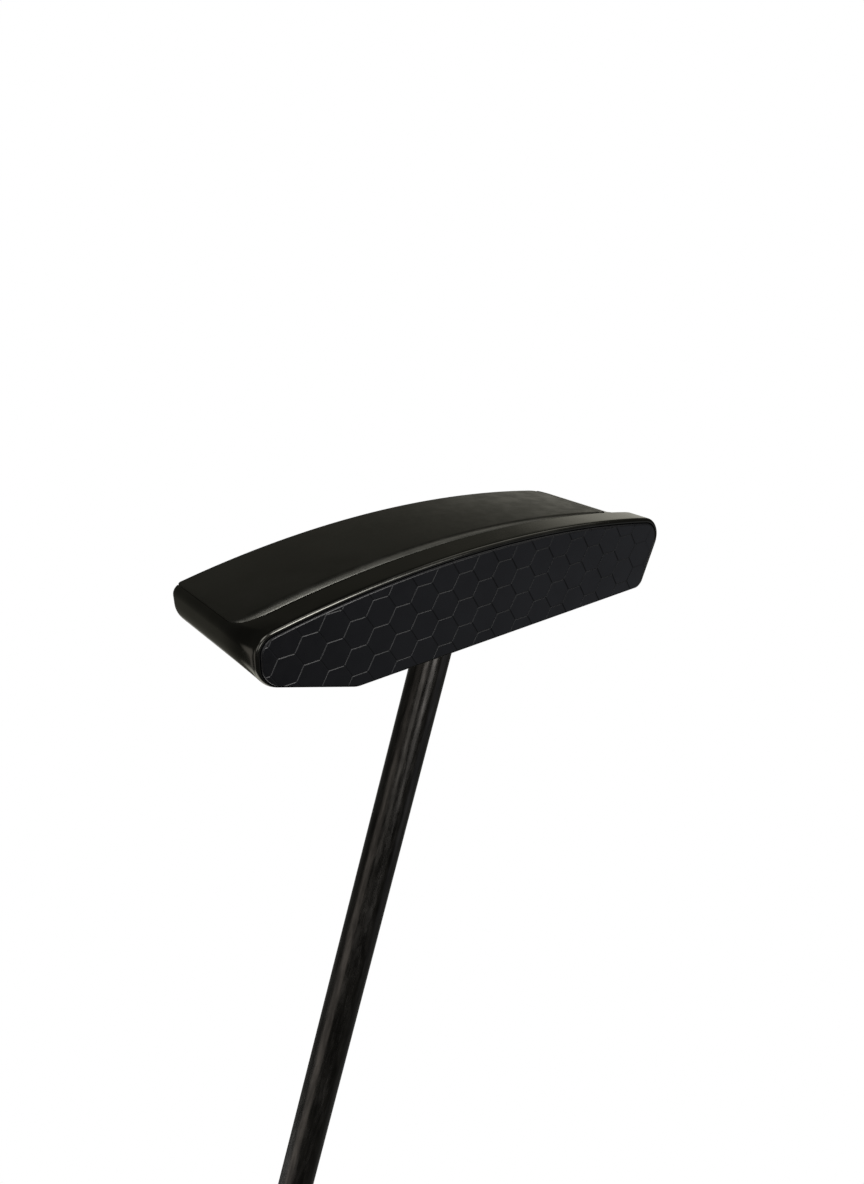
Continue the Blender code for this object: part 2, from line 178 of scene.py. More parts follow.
# ---- studio light: (direction from the club, radius, soft edge in degrees, colour times brightness)
AMBIENT = (0.110, 0.109, 0.101)
SOFT_BOXES = (
    # a long strip light below and in front of the face
    ((-0.150, -0.500, -0.850), 2.0, 6.0, (4.5, 4.45, 4.35)),
    ((-0.210, -0.720, -0.660), 2.0, 6.0, (3.0, 2.95, 2.9)),
    ((-0.265, -0.880, -0.340), 3.0, 6.0, (32.0, 31.8, 31.2)),
    ((-0.400, -0.900, -0.170), 5.0, 7.0, (3.6, 3.6, 3.55)),
    # straight in front of the face
    ((0.220, -0.972, 0.090), 5.0, 8.0, (4.8, 4.8, 4.8)),
    # round the heel's front corner
    ((0.450, -0.580, -0.620), 8.0, 12.0, (5.0, 4.95, 4.85)),
    ((0.800, -0.600, -0.120), 6.0, 10.0, (2.5, 2.45, 2.4)),
    # a wide soft box behind the strip light
    ((-0.250, -0.750, -0.600), 12.0, 32.0, (0.40, 0.395, 0.385)),
    # a bluish glow over the face
    ((-0.680, -0.600, 0.420), 6.0, 20.0, (0.26, 0.27, 0.31)),
    # under the toe side
    ((-0.640, -0.120, -0.760), 5.0, 12.0, (2.0, 1.96, 1.88)),
    # from the heel side
    ((0.95, 0.08, 0.27), 13.0, 10.0, (0.95, 0.89, 0.84)),
    # behind
    ((-0.35, 0.85, 0.40), 8.0, 12.0, (0.35, 0.35, 0.34)),
    # behind the toe
    ((-0.76, 0.62, 0.14), 6.0, 20.0, (0.50, 0.495, 0.475)),
    # overhead
    ((0.40, 0.25, 0.88), 20.0, 12.0, (3.0, 3.0, 2.95)),
)

CORNER_STEPS = 14
SOLE_STEPS = 84


# ================================================================ meshes


def mesh_object(name, points, faces, smooth_angle=SMOOTH_ANGLE):
    """A closed mesh from points in millimetres, with outward faces."""
    mesh = bpy.data.meshes.new(name)
    mesh.from_pydata([Vector(p) * MM for p in points], [], faces)
    bm = bmesh.new()
    bm.from_mesh(mesh)
    bmesh.ops.recalc_face_normals(bm, faces=bm.faces)
    bm.to_mesh(mesh)
    bm.free()
    item = bpy.data.objects.new(name, mesh)
    bpy.context.scene.collection.objects.link(item)
    shade(item, smooth_angle)
    return item


def shade(item, smooth_angle):
    item.data.shade_smooth()
    item.data.set_sharp_from_angle(angle=math.radians(smooth_angle))


def combine(item, tool, operation="DIFFERENCE"):
    """Apply a Boolean with a tool object and drop the tool."""
    boolean = item.modifiers.new("cut", "BOOLEAN")
    boolean.operation = operation
    boolean.solver = "EXACT"
    boolean.object = tool
    graph = bpy.context.evaluated_depsgraph_get()
    result = bpy.data.meshes.new_from_object(item.evaluated_get(graph))
    item.modifiers.clear()
    item.data = result
    bpy.data.objects.remove(tool, do_unlink=True)


def band(start, following, count):
    """Faces between two closed sections, by the index of each one's first point."""
    faces = []
    for i in range(count):
        j = (i + 1) % count
        faces.append((start + i, start + j, following + j, following + i))
    return faces


def loft(sections):
    """Points and faces of a skin over closed sections of equal count, with flat ends."""
    count = len(sections[0])
    points = [p for section in sections for p in section]
    faces = [tuple(range(count)), tuple(range(len(points) - count, len(points)))]
    for s in range(len(sections) - 1):
        faces += band(s * count, (s + 1) * count, count)
    return points, faces


def closed_ring(sections):
    """Points and faces of a closed ring of sections, the last joined to the first."""
    count, total = len(sections[0]), len(sections)
    points = [p for section in sections for p in section]
    faces = []
    for s in range(total):
        faces += band(s * count, (s + 1) % total * count, count)
    return points, faces


def turns(count):
    return [2 * math.pi * k / count for k in range(count)]


def smoothstep(low, high, value):
    way = min(max((value - low) / (high - low), 0.0), 1.0)
    return way * way * (3 - 2 * way)


# ================================================================ outlines


def stations(start, end, count):
    return [start + (end - start) * k / count for k in range(count + 1)]


def camber(sole, x):
    middle, radius, lowest = sole
    return lowest + radius - math.sqrt(radius**2 - (x - middle) ** 2)


def fillet(before, corner, after, radius):
    """Points of the arc that rounds a corner between two straight sides."""
    corner = Vector(corner)
    to_before = (Vector(before) - corner).normalized()
    to_after = (Vector(after) - corner).normalized()
    half_angle = to_before.angle(to_after) / 2
    centre = corner + (to_before + to_after).normalized() * radius / math.sin(half_angle)
    reach = radius / math.tan(half_angle)
    start = (corner + to_before * reach - centre).normalized()
    end = (corner + to_after * reach - centre).normalized()
    return [centre + start.slerp(end, k / CORNER_STEPS) * radius for k in range(CORNER_STEPS + 1)]


def offset(loop, distances):
    """Move each point of a closed loop inwards by its own distance."""
    count = len(loop)
    area = sum(
        loop[i][0] * loop[(i + 1) % count][1] - loop[(i + 1) % count][0] * loop[i][1]
        for i in range(count)
    )
    turn = 1 if area > 0 else -1
    moved = []
    for i, point in enumerate(loop):
        back = (point - loop[i - 1]).normalized()
        ahead = (loop[(i + 1) % count] - point).normalized()
        inward = Vector((-(back.y + ahead.y), back.x + ahead.x)) * turn
        stretch = max(inward.length / 2, 0.5)
        moved.append(point + inward.normalized() * distances[i] / stretch)
    return moved


def head_outline(size):
    """Down the toe end, along the sole, round the heel, over the crown."""
    toe_x = size["toe_x"]
    toe_sole = (toe_x, camber(FLANGE_SOLE, toe_x))
    toe_crown = (toe_x + TOE_LEAN * (TOP_Z - toe_sole[1]), TOP_Z)
    heel_sole = (size["heel_x"], size["heel_z"])
    cut_crown = (size["cut_x"], TOP_Z)
    heel_crown = (size["heel_x"], TOP_Z - CUT_SLOPE * (size["heel_x"] - size["cut_x"]))
    sole_x = stations(toe_x + SOLE_FROM_TOE, size["heel_x"] - SOLE_FROM_HEEL, SOLE_STEPS)
    sole = [Vector((x, camber(FLANGE_SOLE, x))) for x in sole_x]
    loop = fillet(cut_crown, toe_crown, toe_sole, CROWN_TOE_RADIUS)
    loop += fillet(toe_crown, toe_sole, sole[0], size["toe_radius"])
    loop += sole
    loop += fillet(sole[-1], heel_sole, heel_crown, size["heel_sole_radius"])
    loop += fillet(heel_sole, heel_crown, cut_crown, size["heel_crown_radius"])
    loop += fillet(heel_crown, cut_crown, toe_crown, CROWN_CUT_RADIUS)
    return loop


def rim_shares(loop):
    """The rim's share of its full width: slim along the crown and the heel's cut."""
    corner = CORNER_STEPS + 1
    easing = [CROWN_RIM_SHARE + (1 - CROWN_RIM_SHARE) * k / CORNER_STEPS for k in range(corner)]
    full = [1.0] * (len(loop) - 3 * corner)
    return easing + full + easing[::-1] + [CROWN_RIM_SHARE] * corner


def blended(run):
    """Head outline dimensions at y run from the flange's back, on the way from flange to body."""
    left = 1 - min(max((run - BLEND_START) / (BLEND_END - BLEND_START), 0.0), 1.0)
    return {key: BODY[key] + (FLANGE[key] - BODY[key]) * left**3 for key in FLANGE}


def facing(loop, depth):
    """The loop laid on the plane that lies depth behind the lofted face plane."""
    rise = math.tan(LOFT)
    return [(p.x, FACE_CENTRE.y + (p.y - FACE_CENTRE.z) * rise + depth, p.y) for p in loop]


def level(loop, y):
    return [(p.x, y, p.y) for p in loop]


def back_y(x, depth):
    return BACK_Y + BACK_SKEW * x - depth


def rearward(loop, depth):
    return [(p.x, back_y(p.x, depth), p.y) for p in loop]


def quarter(radius, steps):
    """(inset, rise) pairs of a quarter round, from the flat to the side wall."""
    angles = [math.pi / 2 * k / steps for k in range(steps + 1)]
    return [(radius * (1 - math.sin(a)), radius * (1 - math.cos(a))) for a in angles]


# ================================================================ head body


def rim_sections():
    """From the insert pocket's floor, up its wall, over the lip and the rim to the flange's side."""
    outline = head_outline(FLANGE)
    shares = rim_shares(outline)
    profile = [(RIM_WIDTH, POCKET_DEPTH - RIM_RECESS), (RIM_WIDTH, POCKET_WALL_TOP)]
    profile += [(RIM_WIDTH - rise, inset) for inset, rise in quarter(RIM_LIP, 4)]
    profile += quarter(RIM_FILLET, 12)
    sections = []
    for inset, rise in profile:
        loop = offset(outline, [inset * share for share in shares])
        sections.append(facing(loop, RIM_RECESS + rise))
    return sections


def side_section(run, toe_shift, part):
    """The outline at run behind the flange's back plane; part gives the toe end."""
    size = dict(blended(run), toe_x=part["toe_x"] + toe_shift, toe_radius=part["toe_radius"])
    return level(head_outline(size), FLANGE_BACK_Y + run)


def flange_sections():
    runs = stations(BLEND_START + 0.5, -FLANGE_REAR_RADIUS - 0.2, 14)
    sections = [side_section(run, 0.0, FLANGE) for run in runs]
    for inset, rise in quarter(FLANGE_REAR_RADIUS, 6)[::-1][1:]:
        sections.append(side_section(-rise - REAR_WALL_RUN, inset, FLANGE))
    return sections


def body_sections():
    sections = []
    for inset, rise in quarter(COVE_RADIUS, 6):
        sections.append(side_section(COVE_RADIUS - inset + REAR_WALL_RUN, rise - COVE_RADIUS, BODY))
    sections += [side_section(run, 0.0, BODY) for run in stations(1.5, BLEND_END, 10)]
    for shift, depth in BACK_BLEND:
        sections.append(rearward(head_outline(dict(BODY, toe_x=BODY["toe_x"] + shift)), depth))
    rear = head_outline(dict(BODY, toe_x=BODY["toe_x"] + BACK_TOE_SHIFT))
    for inset, rise in quarter(BACK_FILLET, 8)[::-1]:
        sections.append(rearward(offset(rear, [inset] * len(rear)), rise))
    return sections


def shaft_matrix():
    """From the shaft's own millimetres, z up its axis, to the frame's."""
    turn = Matrix.Rotation(math.pi / 2 - LIE, 4, "Y")
    return Matrix.Translation((0.0, SHAFT_Y, TOP_Z)) @ turn


def circle(radius, t, sides=TURNED_SIDES):
    """A ring round the shaft's axis, t along it."""
    place = shaft_matrix()
    return [place @ Vector((radius * math.cos(a), radius * math.sin(a), t)) for a in turns(sides)]


def head_body():
    body = mesh_object("head", *loft(rim_sections() + flange_sections() + body_sections()))
    levels = [(0.0, 0.0, -OVERRUN), (0.0, 0.0, PLATE_POCKET_CEILING)]
    combine(body, mesh_object("plate_pocket", *plate_solid(levels, PLATE_SEAM, OVERRUN)))
    bore = loft([circle(BORE_RADIUS, BORE_BOTTOM), circle(BORE_RADIUS, OVERRUN)])
    combine(body, mesh_object("shaft_bore", *bore))
    low_x, high_x, floor_z, start_y = SIGHT_LINE
    over_z = TOP_Z + OVERRUN
    corners = [(low_x, floor_z), (high_x, floor_z), (high_x, over_z), (low_x, over_z)]
    groove = loft([[(x, y, z) for x, z in corners] for y in (start_y, BACK_Y + OVERRUN)])
    combine(body, mesh_object("sight_groove", *groove))
    shade(body, SMOOTH_ANGLE)
    return body


# ================================================================ sole plate


def plan_chains(outset, back_run):
    """Front and back edges of the plate in plan, toe to heel, with as many points each."""
    toe_x, heel_x = PLATE_TOE_X - outset, PLATE_HEEL_X + outset
    front = FLANGE_BACK_Y - outset
    toe_back = (toe_x, back_y(toe_x, -back_run))
    heel_back = (heel_x, back_y(heel_x, -back_run))
    toe_front, heel_front = (toe_x, front), (heel_x, front)
    radius = {key: value + outset for key, value in PLATE_CORNERS.items()}
    middle = stations(*PLATE_MIDDLE, SOLE_STEPS)
    front_chain = fillet(toe_back, toe_front, heel_front, radius["toe_front"])
    front_chain += [Vector((x, front)) for x in middle]
    front_chain += fillet(toe_front, heel_front, heel_back, radius["heel_front"])
    back_chain = fillet(toe_front, toe_back, heel_back, radius["toe_back"])
    back_chain += [Vector((x, back_y(x, -back_run))) for x in middle]
    back_chain += fillet(toe_back, heel_back, heel_front, radius["heel_back"])
    return front_chain, back_chain


def fillet_shares(count):
    """The plate's fillet is full along its front and almost sharp along its other edges."""
    least = PLATE_REAR_SHARE
    easing = [least + (1 - least) * k / CORNER_STEPS for k in range(CORNER_STEPS + 1)]
    return easing + [1.0] * (count - 2 * len(easing)) + easing[::-1] + [least] * count


def plate_solid(levels, outset=0.0, back_run=0.0):
    """A plate that follows the sole's camber.

    levels run from low to high.  Each is (fillet inset, fillet rise, height over the camber).
    """
    front, back = plan_chains(outset, back_run)
    count = len(front)
    plan = front + back[::-1]
    shares = fillet_shares(count)
    points, faces = [], []
    for inset, rise, height in levels:
        for p, share in zip(offset(plan, [inset * share for share in shares]), shares):
            points.append((p.x, p.y, camber(PLATE_SOLE, p.x) + rise * share + height))
    size = len(plan)
    for s in range(len(levels) - 1):
        faces += band(s * size, (s + 1) * size, size)
    top = size * (len(levels) - 1)
    for base in (0, top):
        for i in range(count - 1):
            faces.append((base + i, base + i + 1, base + size - 2 - i, base + size - 1 - i))
    return points, faces


def sole_plate():
    levels = [(inset, rise, 0.0) for inset, rise in quarter(PLATE_FILLET, 10)]
    levels += [(0.0, 0.0, 2.0), (0.0, 0.0, PLATE_THICKNESS)]
    return mesh_object("sole_plate_fine", *plate_solid(levels))


# ================================================================ face insert


def face_point(u, v, height):
    """A point over the face plane: u towards the toe, v towards the sole, height out of the face."""
    toe = Vector((-1.0, 0.0, 0.0))
    sole = Vector((0.0, -math.sin(LOFT), -math.cos(LOFT)))
    out = Vector((0.0, -math.cos(LOFT), math.sin(LOFT)))
    return FACE_CENTRE + toe * u + sole * v + out * height


def hexagon(column, row):
    """Middle of one cell of the pattern, in face coordinates."""
    u = 1.5 * column * HEX_SIDE
    v = math.sqrt(3) * (row + 0.5 * (column % 2)) * HEX_SIDE
    return u, v


def groove_depth(u):
    """The grooves run out towards the toe."""
    return GROOVE_DEPTH * min(max((GROOVE_END - u) / GROOVE_FADE, GROOVE_LEAST), 1.0)


def hexagon_cells():
    """A slab over the whole face whose top is grooved along the edges of every cell."""
    bm = bmesh.new()
    apothem = HEX_SIDE * math.sqrt(3) / 2
    # (inset from the cell's edge in groove half widths, share of the groove's depth); the last
    # stands over the insert's face
    rings = ((0.0, 1.0), (0.5, 0.62), (0.95, 0.12), (1.6, None))
    for column in CELL_COLUMNS:
        for row in CELL_ROWS:
            u, v = hexagon(column, row)
            loops = []
            for inset, share in rings:
                reach = HEX_SIDE * (1 - inset * GROOVE_HALF_WIDTH / apothem)
                loop = []
                for k in range(6):
                    angle = math.radians(60 * k)
                    pu, pv = u + reach * math.cos(angle), v + reach * math.sin(angle)
                    height = SLAB_PROUD if share is None else -share * groove_depth(pu)
                    loop.append(bm.verts.new(face_point(pu, pv, height) * MM))
                loops.append(loop)
            bm.faces.new(loops[-1])
            for outer, inner in zip(loops, loops[1:]):
                for k in range(6):
                    bm.faces.new((outer[k - 1], outer[k], inner[k], inner[k - 1]))
    bmesh.ops.remove_doubles(bm, verts=bm.verts, dist=0.01 * MM)
    extruded = bmesh.ops.extrude_face_region(bm, geom=list(bm.faces))
    lowered = [item for item in extruded["geom"] if isinstance(item, bmesh.types.BMVert)]
    inward = Vector((0.0, math.cos(LOFT), -math.sin(LOFT))) * (INSERT_THICKNESS + OVERRUN) * MM
    bmesh.ops.translate(bm, verts=lowered, vec=inward)
    bmesh.ops.recalc_face_normals(bm, faces=bm.faces)
    mesh = bpy.data.meshes.new("hexagon_cells")
    bm.to_mesh(mesh)
    bm.free()
    item = bpy.data.objects.new("hexagon_cells", mesh)
    bpy.context.scene.collection.objects.link(item)
    return item


def face_insert():
    outline = head_outline(FLANGE)
    shares = rim_shares(outline)
    sections = []
    for inset, rise in quarter(INSERT_FILLET, 10):
        loop = offset(outline, [(RIM_WIDTH + inset) * share + INSERT_SEAM for share in shares])
        sections.append(facing(loop, rise))
    edge = offset(outline, [RIM_WIDTH * share + INSERT_SEAM for share in shares])
    sections.append(facing(edge, INSERT_THICKNESS))
    insert = mesh_object("insert", *loft(sections))
    combine(insert, hexagon_cells(), "INTERSECT")
    shade(insert, INSERT_SMOOTH_ANGLE)
    return insert


# ================================================================ shaft and grip


def shaft():
    """Parallel tip, stepless taper, with a small chamfer on the tip's edges."""
    butt_top = BUTT_END - CAP_THICKNESS - GAP
    tip_inner = TIP_RADIUS - SHAFT_WALL
    outside = [(TIP_RADIUS - 0.15, SHAFT_TIP), (TIP_RADIUS, SHAFT_TIP + 0.15)]
    outside += [(TIP_RADIUS, t) for t in stations(0.0, TAPER_START, 6)]
    for way in stations(0.04, 1.0, 24):
        t = TAPER_START + (TAPER_END - TAPER_START) * way
        outside.append((TIP_RADIUS + (BUTT_RADIUS - TIP_RADIUS) * way, t))
    outside += [(BUTT_RADIUS, t) for t in stations(TAPER_END + 10.0, butt_top, 4)]
    inside = [(BUTT_RADIUS - SHAFT_WALL, butt_top), (BUTT_RADIUS - SHAFT_WALL, TAPER_END)]
    inside += [(tip_inner, TAPER_START), (tip_inner, SHAFT_TIP)]
    rings = [circle(radius, t) for radius, t in outside + inside]
    return mesh_object("shaft_tube", *closed_ring(rings), smooth_angle=30.0)


def swell(t):
    """0 at the grip's mouth, 1 at its butt."""
    return smoothstep(0.0, GRIP_LENGTH, t - GRIP_MOUTH)


def grip_point(t, angle, inset):
    """A point of the grip's surface in the shaft's own axes: flat thumb side towards -x."""
    half_width, thumb, palm = (
        mouth + growth * swell(t) - inset for mouth, growth in (HALF_WIDTH, THUMB_REACH, PALM_REACH)
    )
    c, s = math.cos(angle), math.sin(angle)
    power = 2 / (THUMB_SQUARENESS if c < 0 else PALM_SQUARENESS)
    reach = thumb if c < 0 else palm
    x = math.copysign(abs(c) ** power, c) * reach
    y = math.copysign(abs(s) ** power, s) * half_width
    return Vector((x, y, t))


def tread(t, angle):
    """Depth of the grip's moulded pattern: slanted grooves at the sides, ribs on the thumb's flat."""
    from_mouth, from_butt = t - GRIP_MOUTH, GRIP_MOUTH + GRIP_LENGTH - t
    ends = smoothstep(6.0, 9.0, from_mouth) * smoothstep(8.0, 11.0, from_butt)
    # 0 at the palm's spine, pi at the middle of the thumb's flat
    turn = abs(((angle + math.pi) % (2 * math.pi)) - math.pi)
    thumb_zone = smoothstep(2.50, 2.56, turn)
    side_zone = smoothstep(0.30, 0.36, turn) * (1 - smoothstep(2.30, 2.36, turn))
    ribs = smoothstep(0.55, 0.85, math.cos(2 * math.pi * from_mouth / RIB_PITCH))
    slant = SLOT_SLANT * turn + from_mouth
    slots = smoothstep(0.60, 0.88, math.cos(2 * math.pi * slant / SLOT_PITCH))
    seam = smoothstep(0.035, 0.015, abs(turn - 0.16))
    pattern = TREAD_DEPTH * (thumb_zone * ribs + side_zone * slots)
    return ends * pattern + ends * SEAM_DEPTH * seam


def grip_skin():
    place = shaft_matrix()
    start, end = GRIP_MOUTH, BUTT_END - CAP_THICKNESS - GAP
    angles = turns(240)
    sections = []
    for t in stations(start, end, 420):
        sections.append([place @ grip_point(t, a, tread(t, a) + 0.02) for a in angles])
    for t in (end, start):
        sections.append([place @ grip_point(t, a, SKIN_THICKNESS) for a in angles])
    return mesh_object("grip_skin_moulded", *closed_ring(sections), smooth_angle=40.0)


def rounded_ring(name, outer, bore):
    """A ring of the grip from (t, inset) points of its outside and (t, radius) of a round bore."""
    place = shaft_matrix()
    angles = turns(160)
    sections = [[place @ grip_point(t, a, inset) for a in angles] for t, inset in outer]
    sections += [circle(radius, t, len(angles)) for t, radius in bore]
    return mesh_object(name, *closed_ring(sections), smooth_angle=35.0)


def grip_collar():
    start, end = GRIP_MOUTH - COLLAR_LENGTH, GRIP_MOUTH - GAP
    outer = [(start + rise, inset) for rise, inset in COLLAR_FLARE]
    outer += [(end - 0.3, 0.5), (end, 0.75)]
    radius = BUTT_RADIUS + GAP
    return rounded_ring("grip_collar_moulded", outer, [(end, radius), (start, radius)])


def grip_end_cap():
    start, end = BUTT_END - CAP_THICKNESS, BUTT_END - CAP_SHORT
    outer = [(start, 0.6), (start + 0.25, 0.3), (end - CAP_ROUND, 0.02)]
    for k in range(1, 9):
        angle = math.pi / 2 * k / 8
        t = end - CAP_ROUND + CAP_ROUND * math.sin(angle)
        outer.append((t, 0.02 + CAP_ROUND_INSET * (1 - math.cos(angle))))
    outer += [(end, 3.4), (end - 0.25, 3.6), (end - 0.25, 4.1), (end, 4.3)]
    bore = [(end, VENT_RADIUS + 0.3), (end - 0.3, VENT_RADIUS), (start, VENT_RADIUS)]
    return rounded_ring("grip_cap_moulded", outer, bore)


# ================================================================ materials


class Paint:
    """A Principled material under construction, with object coordinates in millimetres."""

    def __init__(self, name, roughness, metallic=0.0, **constants):
        self.material = bpy.data.materials.new(name)
        self.material.use_nodes = True
        self.nodes = self.material.node_tree.nodes
        self.links = self.material.node_tree.links
        self.shader = self.nodes["Principled BSDF"]
        self.shader.inputs["Roughness"].default_value = roughness
        self.shader.inputs["Metallic"].default_value = metallic
        for key, value in constants.items():
            self.shader.inputs[key.replace("_", " ")].default_value = value
        coordinates = self.nodes.new("ShaderNodeTexCoord")
        self.space = self.nodes.new("ShaderNodeMapping")
        self.space.inputs["Scale"].default_value = (1000.0, 1000.0, 1000.0)
        self.links.new(coordinates.outputs["Object"], self.space.inputs["Vector"])
        self.height = None

    def along_shaft(self, stretch):
        """Turn the coordinates so that z runs up the shaft, and stretch the patterns along it."""
        self.space.vector_type = "TEXTURE"
        self.space.inputs["Rotation"].default_value = (0.0, math.pi / 2 - LIE, 0.0)
        self.space.inputs["Location"].default_value = (0.0, SHAFT_Y * MM, TOP_Z * MM)
        self.space.inputs["Scale"].default_value = (MM, MM, MM * stretch)

    def noise(self, size, detail=3.0, roughness=0.5, distortion=0.0):
        """Noise whose blobs are about size millimetres across."""
        node = self.nodes.new("ShaderNodeTexNoise")
        node.inputs["Scale"].default_value = 1.0 / size
        node.inputs["Detail"].default_value = detail
        node.inputs["Roughness"].default_value = roughness
        node.inputs["Distortion"].default_value = distortion
        self.links.new(self.space.outputs["Vector"], node.inputs["Vector"])
        return node.outputs["Fac"]

    def cells(self, size):
        """Distance from the middle of scattered cells about size millimetres across."""
        node = self.nodes.new("ShaderNodeTexVoronoi")
        node.inputs["Scale"].default_value = 1.0 / size
        self.links.new(self.space.outputs["Vector"], node.inputs["Vector"])
        return node.outputs["Distance"]

    def spread(self, source, low, high, out_low, out_high):
        """Ease a socket's values from low..high to out_low..out_high."""
        node = self.nodes.new("ShaderNodeMapRange")
        node.interpolation_type = "SMOOTHSTEP"
        ends = {"From Min": low, "From Max": high, "To Min": out_low, "To Max": out_high}
        for key, value in ends.items():
            node.inputs[key].default_value = value
        self.links.new(source, node.inputs["Value"])
        return node.outputs["Result"]

    def math(self, operation, first, second):
        node = self.nodes.new("ShaderNodeMath")
        node.operation = operation
        for socket, value in zip(node.inputs, (first, second)):
            if isinstance(value, (int, float)):
                socket.default_value = value
            else:
                self.links.new(value, socket)
        return node.outputs["Value"]

    def mix(self, share, first, second):
        """Colour between two colours or colour sockets, by a share socket."""
        node = self.nodes.new("ShaderNodeMix")
        node.data_type = "RGBA"
        self.links.new(share, node.inputs["Factor"])
        for key, value in (("A", first), ("B", second)):
            socket = [item for item in node.inputs if item.name == key and item.type == "RGBA"][0]
            if isinstance(value, tuple):
                socket.default_value = (*value, 1.0)
            else:
                self.links.new(value, socket)
        return [item for item in node.outputs if item.type == "RGBA"][0]

    def color(self, source):
        self.links.new(source, self.shader.inputs["Base Color"])

    def rough(self, source):
        self.links.new(source, self.shader.inputs["Roughness"])

    def bump(self, source, depth):
        """Add a bump of depth millimetres."""
        node = self.nodes.new("ShaderNodeBump")
        node.inputs["Strength"].default_value = 1.0
        node.inputs["Distance"].default_value = depth * MM
        self.links.new(source, node.inputs["Height"])
        if self.height:
            self.links.new(self.height, node.inputs["Normal"])
        self.height = node.outputs["Normal"]
        self.links.new(self.height, self.shader.inputs["Normal"])


def head_paint():
    """Black anodised aluminium: glossy, faintly olive, with handling marks and specks of dust."""
    paint = Paint("olive_black_anodised", 0.2, 1.0, Specular_Tint=(1.0, 0.985, 0.91, 1.0))
    cloud = paint.spread(paint.noise(9.0, 4.0, 0.6), 0.35, 0.7, 0.0, 1.0)
    grain = paint.noise(0.35, 2.0, 0.6)
    tone = paint.mix(cloud, (0.035, 0.0345, 0.031), (0.046, 0.0455, 0.041))
    specks = paint.spread(paint.cells(2.6), 0.035, 0.02, 0.0, 1.0)
    paint.color(paint.mix(specks, tone, (0.35, 0.35, 0.32)))
    scuffs = paint.spread(paint.noise(2.2, 5.0, 0.7, 1.5), 0.55, 0.75, 0.0, 0.10)
    base = paint.spread(cloud, 0.0, 1.0, 0.12, 0.18)
    paint.rough(paint.math("ADD", base, scuffs))
    paint.bump(grain, 0.004)
    paint.bump(paint.noise(1.4, 3.0, 0.5), 0.006)
    return paint.material


def sole_paint():
    """Blasted black steel: satin, with a fine even grain."""
    paint = Paint("satin_black_steel", 0.36, 1.0, Specular_Tint=(1.0, 0.985, 0.91, 1.0))
    cloud = paint.spread(paint.noise(14.0, 3.0, 0.55), 0.3, 0.7, 0.0, 1.0)
    grain = paint.noise(0.28, 3.0, 0.7)
    tone = paint.mix(cloud, (0.054, 0.0535, 0.048), (0.068, 0.0675, 0.061))
    speckle = paint.spread(grain, 0.62, 0.78, 0.0, 1.0)
    tone = paint.mix(speckle, tone, (0.095, 0.094, 0.085))
    paint.color(tone)
    paint.rough(paint.spread(paint.noise(3.5, 4.0, 0.6), 0.3, 0.7, 0.33, 0.42))
    paint.bump(grain, 0.012)
    return paint.material


def insert_paint():
    """Matte blue-black polymer with a fine moulded grain."""
    paint = Paint("blue_black_polymer", 0.28, Specular_IOR_Level=0.25)
    cloud = paint.spread(paint.noise(11.0, 4.0, 0.6), 0.3, 0.7, 0.0, 1.0)
    grain = paint.noise(0.22, 3.0, 0.65)
    tone = paint.mix(cloud, (0.0020, 0.0021, 0.0028), (0.0032, 0.0033, 0.0042))
    lint = paint.spread(grain, 0.66, 0.8, 0.0, 1.0)
    paint.color(paint.mix(lint, tone, (0.010, 0.0105, 0.012)))
    paint.rough(paint.spread(paint.noise(2.0, 4.0, 0.6), 0.3, 0.7, 0.25, 0.33))
    paint.bump(grain, 0.006)
    return paint.material


def shaft_paint():
    """Black plated steel tube: glossy, with streaks and mottling along its length."""
    paint = Paint("black_plated_steel", 0.22, 1.0)
    paint.along_shaft(7.0)
    streak = paint.spread(paint.noise(1.6, 5.0, 0.65), 0.35, 0.68, 0.0, 1.0)
    paint.color(paint.mix(streak, (0.026, 0.0245, 0.023), (0.056, 0.0525, 0.049)))
    paint.rough(paint.spread(paint.noise(1.1, 5.0, 0.7, 0.6), 0.3, 0.72, 0.16, 0.36))
    paint.bump(paint.noise(0.8, 4.0, 0.6), 0.008)
    return paint.material


def rubber_paint(name, dark, light):
    paint = Paint(name, 0.62)
    cloud = paint.spread(paint.noise(16.0, 3.0, 0.6), 0.3, 0.7, 0.0, 1.0)
    pebble = paint.cells(0.55)
    paint.color(paint.mix(cloud, dark, light))
    paint.rough(paint.spread(paint.noise(4.0, 4.0, 0.6), 0.3, 0.7, 0.55, 0.72))
    paint.bump(pebble, 0.05)
    paint.bump(paint.noise(0.2, 2.0, 0.6), 0.01)
    return paint.material


def filler_paint(name, dark, light, size, roughness, depth):
    """A mottled material for what lies inside: adhesive, epoxy, foam, tape and plug."""
    paint = Paint(name, roughness)
    cloud = paint.spread(paint.noise(size, 5.0, 0.6), 0.3, 0.7, 0.0, 1.0)
    paint.color(paint.mix(cloud, dark, light))
    patches = paint.noise(size / 2, 3.0, 0.6)
    paint.rough(paint.spread(patches, 0.3, 0.7, roughness - 0.08, roughness + 0.08))
    paint.bump(paint.noise(size / 3, 4.0, 0.6), depth)
    return paint.material


# ================================================================ camera, floor, light


def camera():
    data = bpy.data.cameras.new("camera")
    data.lens = CAMERA_LENS
    data.sensor_width = 36.0
    data.clip_start = 0.01
    item = bpy.data.objects.new("camera", data)
    forward = Vector(CAMERA_FORWARD).normalized()
    up = Vector(CAMERA_UP).normalized()
    right = forward.cross(up).normalized()
    up = right.cross(forward)
    turn = Matrix((right, up, -forward)).transposed().to_4x4()
    item.matrix_world = Matrix.Translation(CAMERA_PLACE) @ turn
    bpy.context.scene.collection.objects.link(item)
    bpy.context.scene.camera = item


